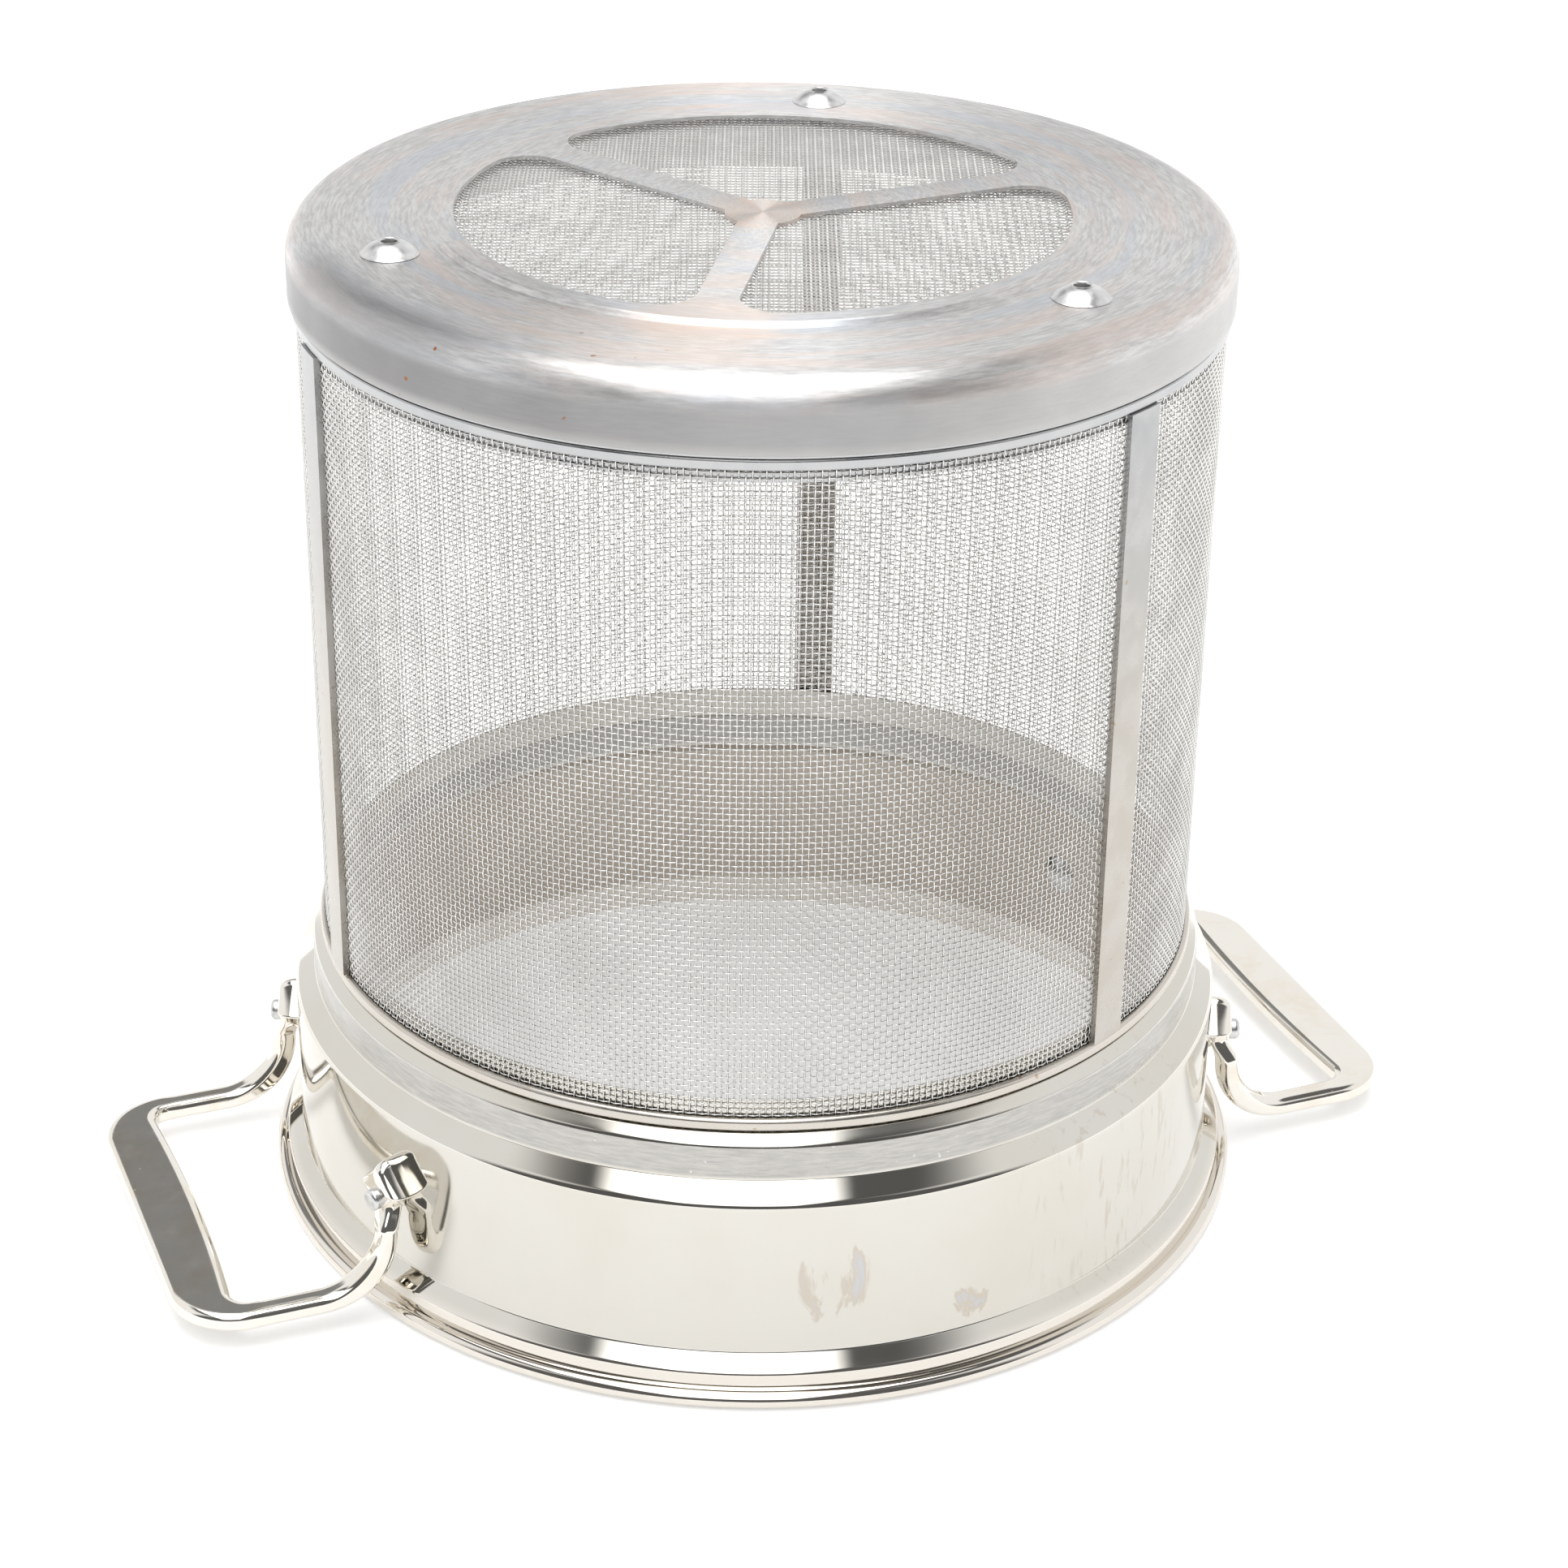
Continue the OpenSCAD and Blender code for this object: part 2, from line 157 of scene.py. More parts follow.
def ring_faces(rings, count, close_rings, close_along):
    """Quads over a grid of `rings` rings of `count` points each.

    close_rings joins each ring's last point to its first; close_along joins the last ring to the
    first.
    """
    rows = np.arange(rings if close_along else rings - 1)
    cols = np.arange(count if close_rings else count - 1)
    r, c = np.meshgrid(rows, cols, indexing="ij")
    r2, c2 = (r + 1) % rings, (c + 1) % count
    quads = np.stack([r * count + c, r * count + c2, r2 * count + c2, r2 * count + c], axis=-1)
    return quads.reshape(-1, 4)


def lathe_points(profile, segments):
    """Points of a profile of (radius, height) turned round Z: one ring for each profile point."""
    angles = np.linspace(0, 2 * math.pi, segments, endpoint=False)
    r = np.array([p[0] for p in profile])[:, None]
    z = np.array([p[1] for p in profile])[:, None]
    return np.stack([r * np.cos(angles), r * np.sin(angles), z + 0 * angles], axis=-1)


def lathe(name, profile, material, segments=480, place=None):
    """A closed profile of (radius, height) turned round Z, then moved by the matrix `place`."""
    grid = lathe_points(profile, segments)
    verts = grid.reshape(-1, 3)
    if place is not None:
        turned = np.array(place.to_3x3())
        verts = verts @ turned.T + np.array(place.to_translation())
    faces = ring_faces(len(profile), segments, True, True)
    piece = new_piece(name, verts, faces, material)
    fix_normals(piece)
    return piece


def fix_normals(piece):
    """Merges points that lie on one another and turns all faces outward."""
    work = bmesh.new()
    work.from_mesh(piece.data)
    bmesh.ops.remove_doubles(work, verts=work.verts, dist=1e-7)
    bmesh.ops.dissolve_degenerate(work, edges=work.edges, dist=1e-7)
    bmesh.ops.recalc_face_normals(work, faces=work.faces)
    work.to_mesh(piece.data)
    work.free()
    piece.data.update()


# ---- Materials ----
class Shader:
    """A Principled material with short calls for adding and linking its nodes."""

    def __init__(self, name, metallic=1.0):
        self.material = bpy.data.materials.new(name)
        self.material.use_nodes = True
        self.tree = self.material.node_tree
        self.tree.nodes.clear()
        self.bsdf = self.add("ShaderNodeBsdfPrincipled", {"Metallic": metallic})
        out = self.add("ShaderNodeOutputMaterial")
        self.tree.links.new(self.bsdf.outputs[0], out.inputs["Surface"])
        self.position = self.add("ShaderNodeTexCoord").outputs["Object"]
        split = self.add("ShaderNodeSeparateXYZ", {0: self.position})
        self.x, self.y, self.z = split.outputs

    def add(self, kind, inputs=None, **settings):
        """A new node. An input that is a socket is linked; any other value is set on it."""
        made = self.tree.nodes.new(kind)
        for key, value in settings.items():
            setattr(made, key, value)
        for key, value in (inputs or {}).items():
            if isinstance(value, bpy.types.NodeSocket):
                self.tree.links.new(value, made.inputs[key])
            else:
                made.inputs[key].default_value = value
        return made

    def math(self, operation, a, b=0.0):
        """The result of a Math node on two inputs, each a socket or a number."""
        return self.add("ShaderNodeMath", {0: a, 1: b}, operation=operation).outputs[0]

    def noise(self, scale, detail=3.0, stretch=(1, 1, 1), vector=None, rough=0.55, distortion=0.0):
        """Noise with `scale` waves to the metre, squeezed along an axis by `stretch`."""
        source = vector or self.position
        moved = self.add("ShaderNodeMapping", {"Vector": source, "Scale": stretch})
        inputs = {"Vector": moved.outputs[0], "Scale": scale, "Detail": detail}
        inputs.update({"Roughness": rough, "Distortion": distortion})
        return self.add("ShaderNodeTexNoise", inputs).outputs["Fac"]

    def ramp(self, value, low, high, out_low=0.0, out_high=1.0):
        """Maps low..high to out_low..out_high with soft ends."""
        inputs = {"Value": value, "From Min": low, "From Max": high}
        inputs.update({"To Min": out_low, "To Max": out_high})
        node = self.add("ShaderNodeMapRange", inputs, interpolation_type="SMOOTHSTEP")
        return node.outputs[0]

    def mix(self, factor, a, b):
        """Mixes two colours, each a socket or an (r, g, b) tuple."""
        node = self.add("ShaderNodeMix", data_type="RGBA")
        for socket, value in ((node.inputs[0], factor), (node.inputs[6], a), (node.inputs[7], b)):
            if isinstance(value, bpy.types.NodeSocket):
                self.tree.links.new(value, socket)
            elif isinstance(value, tuple):
                socket.default_value = (*value, 1.0)
            else:
                socket.default_value = value
        return node.outputs[2]

    def near(self, point, radius, soft=0.5):
        """1 within `soft` times the radius of a point, falling to 0 at the radius."""
        inputs = {0: self.position, 1: point}
        far = self.add("ShaderNodeVectorMath", inputs, operation="DISTANCE").outputs["Value"]
        return self.ramp(far, radius, radius * soft)

    def band(self, low, high, soft):
        """1 between two heights, with soft edges."""
        above = self.ramp(self.z, low - soft, low + soft)
        below = self.ramp(self.z, high + soft, high - soft)
        return self.math("MULTIPLY", above, below)

    def radius(self):
        """Distance from the basket's axis."""
        x_square, y_square = self.math("POWER", self.x, 2.0), self.math("POWER", self.y, 2.0)
        return self.math("SQRT", self.math("ADD", x_square, y_square))

    def round_axis(self):
        """Coordinates that run round the axis: radius, angle and height."""
        angle = self.math("ARCTAN2", self.y, self.x)
        inputs = {0: self.radius(), 1: angle, 2: self.z}
        return self.add("ShaderNodeCombineXYZ", inputs).outputs[0]

    def set(self, **inputs):
        """Sets inputs of the Principled shader; an underscore stands for a space."""
        for key, value in inputs.items():
            socket = self.bsdf.inputs[key.replace("_", " ")]
            if isinstance(value, bpy.types.NodeSocket):
                self.tree.links.new(value, socket)
            else:
                socket.default_value = (*value, 1.0) if isinstance(value, tuple) else value

    def bump(self, height, distance, strength=1.0):
        """Bumps `distance` deep where height is 1."""
        inputs = {"Height": height, "Distance": distance, "Strength": strength}
        self.set(Normal=self.add("ShaderNodeBump", inputs).outputs[0])


def axis_point(radius, angle, z):
    """A point at a distance from the axis, an angle in degrees and a height."""
    a = math.radians(angle)
    return (radius * math.cos(a), radius * math.sin(a), z)


def lathe_lines(s, scale):
    """Fine lines round the axis, as a lathe or a brushing wheel leaves them."""
    stretch = (1, 0.012, 1)
    return s.noise(scale, 4, stretch, s.round_axis(), 0.7)


def stained_wall(s, colour, brown):
    """Dried water on the collar's front: two patches with brown edges and bluish middles.

    Gives the new colour, and the patches themselves for the roughness.
    """
    blue = (0.55, 0.57, 0.62)
    patch = s.near(axis_point(WALL_R, -101, 31 * MM), 18 * MM, 0.2)
    patch = s.math("MAXIMUM", patch, s.near(axis_point(WALL_R, -85, 19 * MM), 10 * MM, 0.2))
    uneven = s.noise(85, 5, (1, 1, 0.5), rough=0.65, distortion=0.8)
    field = s.math("ADD", s.math("MULTIPLY", patch, 0.35), s.math("MULTIPLY", uneven, 1.1))
    stain = s.ramp(field, 0.83, 0.90)
    middle = s.ramp(field, 0.91, 0.98)
    colour = s.mix(s.math("MULTIPLY", stain, 0.55), colour, brown)
    return s.mix(s.math("MULTIPLY", middle, 0.7), colour, blue), stain


def brushed_spigot(s, colour, spigot):
    """Brush lines and small bright spots on the spigot band, where spigot is 1."""
    dark_line, bright_line, bright = (0.43, 0.42, 0.40), (0.54, 0.525, 0.495), (0.80, 0.79, 0.77)
    lines = s.ramp(lathe_lines(s, 1500), 0.3, 0.7)
    colour = s.mix(spigot, colour, s.mix(lines, dark_line, bright_line))
    spots = s.ramp(s.noise(520, 2), 0.70, 0.74)
    spots = s.math("MULTIPLY", spots, s.math("MULTIPLY", spigot, 0.5))
    return s.mix(spots, colour, bright)


def mirror_collar():
    """Mirror-polished collar with a brushed spigot band, water stains, smears and fine streaks,
    painted light on the lip and rim, and painted shade inside.
    """
    s = Shader("mirror_collar")
    clean, hazy, brown = (0.67, 0.65, 0.60), (0.61, 0.56, 0.47), (0.50, 0.43, 0.35)
    lip_painted_light, inside_painted_shade = (0.78, 0.74, 0.68), (0.52, 0.46, 0.40)
    haze = s.ramp(s.noise(22, 3), 0.42, 0.72)
    colour = s.mix(s.math("MULTIPLY", haze, 0.3), clean, hazy)
    colour, stain = stained_wall(s, colour, brown)
    streaks = s.ramp(s.noise(420, 4, (1, 1, 0.2)), 0.56, 0.68)
    streaks = s.math("MULTIPLY", streaks, s.near(axis_point(WALL_R, -62, 38 * MM), 42 * MM, 0.4))
    colour = s.mix(s.math("MULTIPLY", streaks, 0.42), colour, brown)
    spigot = s.band(SEAT_Z + 0.6 * MM, SHOULDER_Z - 2.6 * MM, 0.5 * MM)
    colour = brushed_spigot(s, colour, spigot)
    # Painted light: below about 10 mm the lip and rolled rim are made lighter, standing for the
    # bright floor they reflect.
    lip = s.ramp(s.z, 10.5 * MM, 8.0 * MM)
    colour = s.mix(lip, colour, lip_painted_light)
    # Painted shade: the collar's inside, below the seat, is made darker and warmer.
    within = s.ramp(s.radius(), WALL_R - 0.35 * MM, WALL_R - 0.6 * MM)
    within = s.math("MULTIPLY", within, s.ramp(s.z, SEAT_Z - 4 * MM, SEAT_Z - 6 * MM))
    colour = s.mix(within, colour, inside_painted_shade)
    above = s.ramp(s.z, SHOULDER_Z - 2.5 * MM, SHOULDER_Z - 1.0 * MM)
    gloss = s.math("ADD", s.math("MULTIPLY", spigot, 0.20), s.math("MULTIPLY", above, 0.10))
    smear = s.ramp(s.noise(45, 4), 0.4, 0.8, 0.0, 0.05)
    rough = s.math("ADD", s.math("ADD", gloss, smear), 0.045)
    s.set(Base_Color=colour, Roughness=s.math("ADD", rough, s.math("MULTIPLY", stain, 0.10)))
    s.bump(s.noise(26, 2), 0.10 * MM)
    return s.material


def heat_tints(s, colour):
    """Pink and blue clouds drawn out round the cap, and two pink marks left by welding."""
    pink, blue, welded = (0.69, 0.57, 0.51), (0.51, 0.55, 0.61), (0.75, 0.58, 0.46)
    around = s.round_axis()
    warm = s.ramp(s.noise(120, 4, (1, 0.010, 0.5), around, 0.6, 0.3), 0.48, 0.64)
    colour = s.mix(s.math("MULTIPLY", warm, 0.5), colour, pink)
    cool = s.ramp(s.noise(150, 3, (1, 0.009, 0.4), around), 0.50, 0.66)
    colour = s.mix(s.math("MULTIPLY", cool, 0.45), colour, blue)
    marks = s.near(axis_point(80 * MM, -120, BODY_H), 22 * MM)
    marks = s.math("MAXIMUM", marks, s.near((0, 0, BODY_H), 16 * MM))
    return s.mix(s.math("MULTIPLY", marks, 0.35), colour, welded)


def skirt_painted_light(s, colour):
    """Painted light on the skirt: painted shade, darkest on the camera's left, and a painted
    highlight at its lower edge.
    """
    left, right, edge = (0.25, 0.245, 0.245), (0.46, 0.455, 0.45), (0.55, 0.545, 0.53)
    right_x, right_y = 0.93, -0.36
    below = s.ramp(s.z, BODY_H - 4 * MM, BODY_H - 8 * MM, 0.0, 0.85)
    side = s.math("ADD", s.math("MULTIPLY", s.x, right_x), s.math("MULTIPLY", s.y, right_y))
    colour = s.mix(below, colour, s.mix(s.ramp(side, -90 * MM, 90 * MM), left, right))
    return s.mix(s.ramp(s.z, SKIRT_Z + 3 * MM, SKIRT_Z, 0.0, 0.6), colour, edge)


def satin_cap():
    """Stamped cap: circular brush lines, heat tints in pink and blue, a few rust specks, a painted
    dark reflection on the left front of its edge, and painted shade and a painted highlight on the
    skirt.
    """
    s = Shader("satin_cap")
    dark_line, bright_line = (0.50, 0.495, 0.49), (0.70, 0.695, 0.69)
    painted_dark_reflection, rust = (0.34, 0.345, 0.36), (0.35, 0.13, 0.04)
    lines = lathe_lines(s, 1300)
    colour = s.mix(s.ramp(lines, 0.32, 0.68), dark_line, bright_line)
    colour = heat_tints(s, colour)
    # Painted reflection: a dark patch on the rounded edge at the left front, standing for the dark
    # room that part of the edge reflects.
    dark_reflection_patch = s.ramp(s.radius(), CAP_R - 13 * MM, CAP_R - 6 * MM)
    dark_reflection_patch = s.math("MULTIPLY", dark_reflection_patch, s.near(axis_point(CAP_R, -166, BODY_H), 50 * MM, 0.4))
    colour = s.mix(s.math("MULTIPLY", dark_reflection_patch, 0.65), colour, painted_dark_reflection)
    # Painted shade and a painted highlight on the skirt.
    colour = skirt_painted_light(s, colour)
    specks = s.ramp(s.noise(240, 1), 0.76, 0.79)
    specks = s.math("MULTIPLY", specks, s.near(axis_point(CAP_R, -150, BODY_H), 60 * MM))
    colour = s.mix(specks, colour, rust)
    rough = s.ramp(s.noise(60, 4), 0.3, 0.7, 0.38, 0.44)
    s.set(Base_Color=colour, Roughness=rough, Anisotropic=0.75, Anisotropic_Rotation=0.25)
    s.set(Tangent=s.add("ShaderNodeTangent", direction_type="RADIAL", axis="Z").outputs[0])
    s.bump(lines, 0.03 * MM, 0.6)
    return s.material


def satin_band(name, top, bottom):
    """Satin steel of the hoops, strips and clamp ring: cool grey high up, warmer low down.

    top and bottom are the grey at the wire wall's two ends.
    """
    s = Shader(name)
    cool, warm = (top * 0.98, top, top * 1.02), (bottom * 1.05, bottom * 0.98, bottom * 0.88)
    tarnish = (bottom * 0.95, bottom * 0.84, bottom * 0.74)
    pale, rust = (0.68, 0.67, 0.65), (0.42, 0.27, 0.16)
    cloud = s.ramp(s.noise(90, 4), 0.35, 0.7)
    colour = s.mix(s.ramp(s.z, MESH_Z1, MESH_Z0 + 60 * MM), cool, warm)
    colour = s.mix(s.math("MULTIPLY", cloud, 0.3), colour, pale)
    stain = s.ramp(s.noise(48, 3, distortion=0.6), 0.60, 0.78)
    colour = s.mix(s.math("MULTIPLY", stain, 0.4), colour, tarnish)
    specks = s.ramp(s.noise(300, 1), 0.74, 0.78)
    specks = s.math("MULTIPLY", specks, s.ramp(s.z, SKIRT_Z - 6 * MM, SKIRT_Z - 8 * MM))
    colour = s.mix(s.math("MULTIPLY", specks, 0.6), colour, rust)
    s.set(Base_Color=colour, Roughness=s.ramp(cloud, 0.0, 1.0, 0.22, 0.34))
    s.bump(s.noise(900, 3, (1, 1, 0.05)), 0.02 * MM, 0.5)
    return s.material


def drawn_wire():
    """Bright drawn wire with a little tarnish from place to place."""
    s = Shader("drawn_wire")
    dull, bright = (0.70, 0.69, 0.67), (0.80, 0.79, 0.77)
    cloud = s.ramp(s.noise(60, 2), 0.35, 0.7)
    s.set(Base_Color=s.mix(cloud, dull, bright), Roughness=0.22)
    return s.material


def bright_rivet():
    """Tumbled rivet steel, softly shining."""
    s = Shader("bright_rivet")
    dull, bright = (0.62, 0.62, 0.62), (0.75, 0.745, 0.735)
    cloud = s.ramp(s.noise(420, 4), 0.35, 0.7)
    s.set(Base_Color=s.mix(cloud, dull, bright), Roughness=s.ramp(cloud, 0.0, 1.0, 0.28, 0.36))
    s.bump(s.noise(900, 3), 0.03 * MM, 0.4)
    return s.material


def cast_handle():
    """Polished casting with faint warm clouds, smears and small dull nicks."""
    s = Shader("cast_handle")
    clean, warm = (0.84, 0.81, 0.75), (0.81, 0.75, 0.66)
    cloud = s.noise(75, 4, rough=0.6, distortion=0.5)
    nicks = s.ramp(s.noise(700, 2), 0.72, 0.76)
    rough = s.ramp(s.noise(130, 4), 0.35, 0.75, 0.05, 0.13)
    rough = s.math("ADD", rough, s.math("MULTIPLY", nicks, 0.2))
    s.set(Base_Color=s.mix(s.ramp(cloud, 0.45, 0.7), clean, warm), Roughness=rough)
    s.bump(s.noise(60, 2), 0.12 * MM, 0.8)
    return s.material


def dark_pin():
    """Dull plated steel of the broken pulling pins."""
    s = Shader("dark_pin")
    dark, light = (0.16, 0.155, 0.15), (0.30, 0.29, 0.275)
    cloud = s.ramp(s.noise(600, 3), 0.3, 0.7)
    s.set(Base_Color=s.mix(cloud, dark, light), Roughness=0.5)
    return s.material


# ---- Collar ----
def rim_outline():
    """The rolled rim: down the lip's outside, round the curl and up its inside."""
    bead, top, end = 2.1 * MM, 117, -140
    return arc((BEAD_R - bead, bead), bead, top, end, 28)


def inner_side(points, t):
    """The inner side of a sheet t thick, listed bottom to top.

    points are its outer corners (r, z, corner radius), listed top to bottom.
    """
    least_radius = 0.2 * MM
    out = []
    for i, point in enumerate(points):
        here = Vector(point[:2])
        before = Vector(points[max(i - 1, 0)][:2])
        after = Vector(points[min(i + 1, len(points) - 1)][:2])
        u = (here - before if i else after - here).normalized()
        v = (after - here if i < len(points) - 1 else here - before).normalized()
        normal = Vector((u.y + v.y, -u.x - v.x)).normalized()
        moved = here + normal * t / normal.dot(Vector((u.y, -u.x)))
        bend = t if u.x * v.y - u.y * v.x > 0 else -t
        out.append((moved.x, moved.y, max(point[2] + bend, least_radius)))
    return out[::-1]


def collar_shell():
    """The collar's sheet as one section, from the neck down to the rolled rim, turned round Z."""
    lip_r = BEAD_R - 3.05 * MM
    outside = [
        (NECK_R, NECK_Z, 0.0),
        (NECK_R, SHOULDER_Z, 0.5 * MM),
        (MESH_R + 0.7 * MM, SHOULDER_Z, 1.0 * MM),
        (SPIGOT_R, SHOULDER_Z - 2.5 * MM, 1.6 * MM),
        (SPIGOT_R, SEAT_Z, 0.3 * MM),
        (WALL_R, SEAT_Z - 4.4 * MM, 2.4 * MM),
        (WALL_R, 12.1 * MM, 0.7 * MM),
        (lip_r, 8.5 * MM, 1.4 * MM),
        (lip_r, 4.3 * MM, 0.0),
    ]
    inside = inner_side(outside, SHEET_T)
    profile = rounded(outside, closed=False) + rim_outline() + rounded(inside, closed=False)
    shell = lathe("collar_shell", profile, MIRROR)
    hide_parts("collar")


# ---- Cap ----
def window_outline():
    """One window seen from above: corner arc, outer arc, corner arc, and the hub's arc.

    The spokes on either side of it run out from the axis at 0 and 120 degrees.
    """
    window_r, corner_r, half_spoke = 73.3 * MM, 9.5 * MM, 4.8 * MM
    hub_angle = math.degrees(math.asin(half_spoke / HUB_R))
    ring = window_r - corner_r
    tilt = math.degrees(math.asin((half_spoke + corner_r) / ring))
    first, last = (axis_point(ring, angle, 0)[:2] for angle in (tilt, 120 - tilt))
    points = arc(first, corner_r, -90, tilt, 14)
    points += arc((0, 0), window_r, tilt, 120 - tilt, 48)[1:-1]
    points += arc(last, corner_r, 120 - tilt, 210, 14)
    return points + arc((0, 0), HUB_R, 120 - hub_angle, hub_angle, 10)


def window_cutter(angle):
    """A prism that cuts one window through the cap."""
    outline = window_outline()
    count = len(outline)
    reach = 4 * MM
    turn = np.array(Matrix.Rotation(math.radians(angle), 3, "Z"))
    flat = np.array([(x, y, 0.0) for x, y in outline]) @ turn.T
    low, high = flat.copy(), flat.copy()
    low[:, 2] = BODY_H - reach
    high[:, 2] = BODY_H + reach
    mesh = bpy.data.meshes.new("window_cutter")
    sides = [(i, (i + 1) % count, (i + 1) % count + count, i + count) for i in range(count)]
    caps = [tuple(range(count))[::-1], tuple(range(count, 2 * count))]
    mesh.from_pydata([tuple(p) for p in np.vstack([low, high])], [], sides + caps)
    cutter = bpy.data.objects.new("window_cutter", mesh)
    bpy.context.scene.collection.objects.link(cutter)
    return cutter


def cut(piece, tools, operation="DIFFERENCE"):
    """Cuts solids out of a piece, or joins them to it with "UNION", and deletes the solids."""
    for tool in tools:
        change = piece.modifiers.new("cut", "BOOLEAN")
        change.object = tool
        change.operation = operation
        change.solver = "EXACT"
    depsgraph = bpy.context.evaluated_depsgraph_get()
    done = bpy.data.meshes.new_from_object(piece.evaluated_get(depsgraph))
    piece.modifiers.clear()
    piece.data = done
    for tool in tools:
        bpy.data.objects.remove(tool)


def cap_shell():
    """The stamped cap: rounded edge, creased raised centre, three windows between its spokes."""
    t = SHEET_T
    centre_r, crease_w, edge_r = 79.7 * MM, 1.2 * MM, 7.3 * MM
    raised_r = centre_r - 12 * MM
    outline = [
        (0.0, BODY_H - t),
        (0.0, BODY_H),
        (HUB_R, BODY_H),
        (raised_r, CAP_TOP),
        (centre_r - crease_w, CAP_TOP, 1.0 * MM),
        (centre_r, BODY_H, 0.12 * MM),
        (CAP_R, BODY_H, edge_r),
        (CAP_R, SKIRT_Z, 0.25 * MM),
        (CAP_R - t, SKIRT_Z, 0.25 * MM),
        (CAP_R - t, BODY_H - t, edge_r - t),
        (centre_r - 2 * t, BODY_H - t),
        (centre_r - 3 * t, CAP_TOP - t),
        (raised_r, CAP_TOP - t),
        (HUB_R, BODY_H - t),
    ]
    shell = lathe("cap_shell", rounded(outline, 14), CAP)
    cut(shell, [window_cutter(angle) for angle in SPOKE_ANGLES])
    shell.data.set_sharp_from_angle(angle=math.radians(SHEET_SMOOTH))
    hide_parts("base_cap")


# ---- Hoops ----
def lower_hoop():
    """The band that holds the wire wall on the collar's neck, with a well rounded top edge."""
    low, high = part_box("lower_hoop")
    profile = [
        (MESH_R, low.z),
        (high.x, low.z, 0.6 * MM),
        (high.x, high.z, 1.2 * MM),
        (MESH_R, high.z),
    ]
    hoop = lathe("lower_band", rounded(profile), BAND)
    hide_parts("lower_hoop")


def upper_hoop():
    """The band round the wire wall's top, stepped back just below the cap's skirt."""
    low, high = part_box("upper_hoop")
    step_r = high.x - 0.45 * MM
    step_z = SKIRT_Z - 0.9 * MM
    profile = [
        (MESH_R, low.z),
        (high.x, low.z, 0.6 * MM),
        (high.x, step_z, 0.8 * MM),
        (step_r, step_z),
        (step_r, high.z),
        (MESH_R, high.z),
    ]
    hoop = lathe("upper_band", rounded(profile), BAND)
    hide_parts("upper_hoop")


# ---- Woven wire ----
def over_under(line, half_pitch, first):
    """Which side of the cloth each wire is on: 1 or -1 at its crossings, 0 midway between them.

    line is the wire's number, half_pitch the place along it, and first the side that wire 0 is
    on at its first crossing.
    """
    side = np.where((line + (half_pitch - 1) // 2) % 2 == 0, first, -first)
    return (half_pitch % 2) * side


def tubes(points, across, keep=None):
    """Four-sided tubes along many wires at once, as (verts, quads).

    points and across have the shape (wires, rings, 3); across is the direction that lies in the
    cloth and square to the wire. keep, where it is given, has the shape (wires, rings): a ring
    that is not kept leaves a gap in its wire.
    """
    along = np.gradient(points, axis=1)
    along /= np.linalg.norm(along, axis=2, keepdims=True)
    out = np.cross(along, across)
    out /= np.linalg.norm(out, axis=2, keepdims=True)
    corners = [points + WIRE_R * way for way in (across, out, -across, -out)]
    ring = np.stack(corners, axis=2)
    wires, rings = points.shape[:2]
    index = np.arange(wires * rings * 4).reshape(wires, rings, 4)
    ahead = np.roll(index, -1, axis=2)
    quads = np.stack([index[:, :-1], ahead[:, :-1], ahead[:, 1:], index[:, 1:]], axis=-1)
    if keep is not None:
        quads = quads[keep[:, :-1] & keep[:, 1:]]
    quads = quads.reshape(-1, 4)
    used, quads = np.unique(quads, return_inverse=True)
    return ring.reshape(-1, 3)[used], quads.reshape(-1, 4)


def woven(name, parts, replaced):
    """Joins several sets of tubes into one piece of wire cloth."""
    verts, faces, start = [], [], 0
    for part_verts, part_faces in parts:
        verts.append(part_verts)
        faces.append(part_faces + start)
        start += len(part_verts)
    verts, faces = np.vstack(verts), np.vstack(faces)
    cloth = new_piece(name, verts, faces, WIRE, smooth_angle=0)
    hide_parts(replaced)


def wall_wires(angle, z, side, across):
    """Tubes along wires of the wall, each point given by its angle in radians, height and side."""
    r = MESH_R - WIRE_D + WIRE_R * side
    xyz = np.broadcast_arrays(r * np.cos(angle), r * np.sin(angle), z)
    points = np.stack(xyz, axis=-1)
    return tubes(points, np.broadcast_to(across, points.shape))


def side_cloth():
    """The wire wall in twelve equal sectors: upright wires and level wires, over and under."""
    sectors = 12
    count = 2 * round(math.pi * (MESH_R - WIRE_D) / WIRE_PITCH)
    count -= count % sectors
    per_sector = count // sectors
    rows = round((MESH_Z1 - MESH_Z0) / WIRE_PITCH)
    row_h = (MESH_Z1 - MESH_Z0) / rows
    for sector in range(sectors):
        first = sector * per_sector
        wire = first + np.arange(per_sector)[:, None]
        place = np.arange(2 * rows + 1)[None, :]
        angle = (wire + 0.5) * 2 * math.pi / count
        across = np.stack([-np.sin(angle), np.cos(angle), 0 * angle], axis=-1)
        z = MESH_Z0 + place * row_h / 2
        upright = wall_wires(angle, z, over_under(wire, place, 1.0), across)
        row = np.arange(rows)[:, None]
        place = 2 * first + np.arange(2 * per_sector + 1)[None, :]
        z = MESH_Z0 + (row + 0.5) * row_h
        side = over_under(row, place, -1.0)
        level = wall_wires(place * math.pi / count, z, side, (0.0, 0.0, 1.0))
        woven(f"wire_wall_{sector + 1:02d}", [upright, level], "side_mesh")


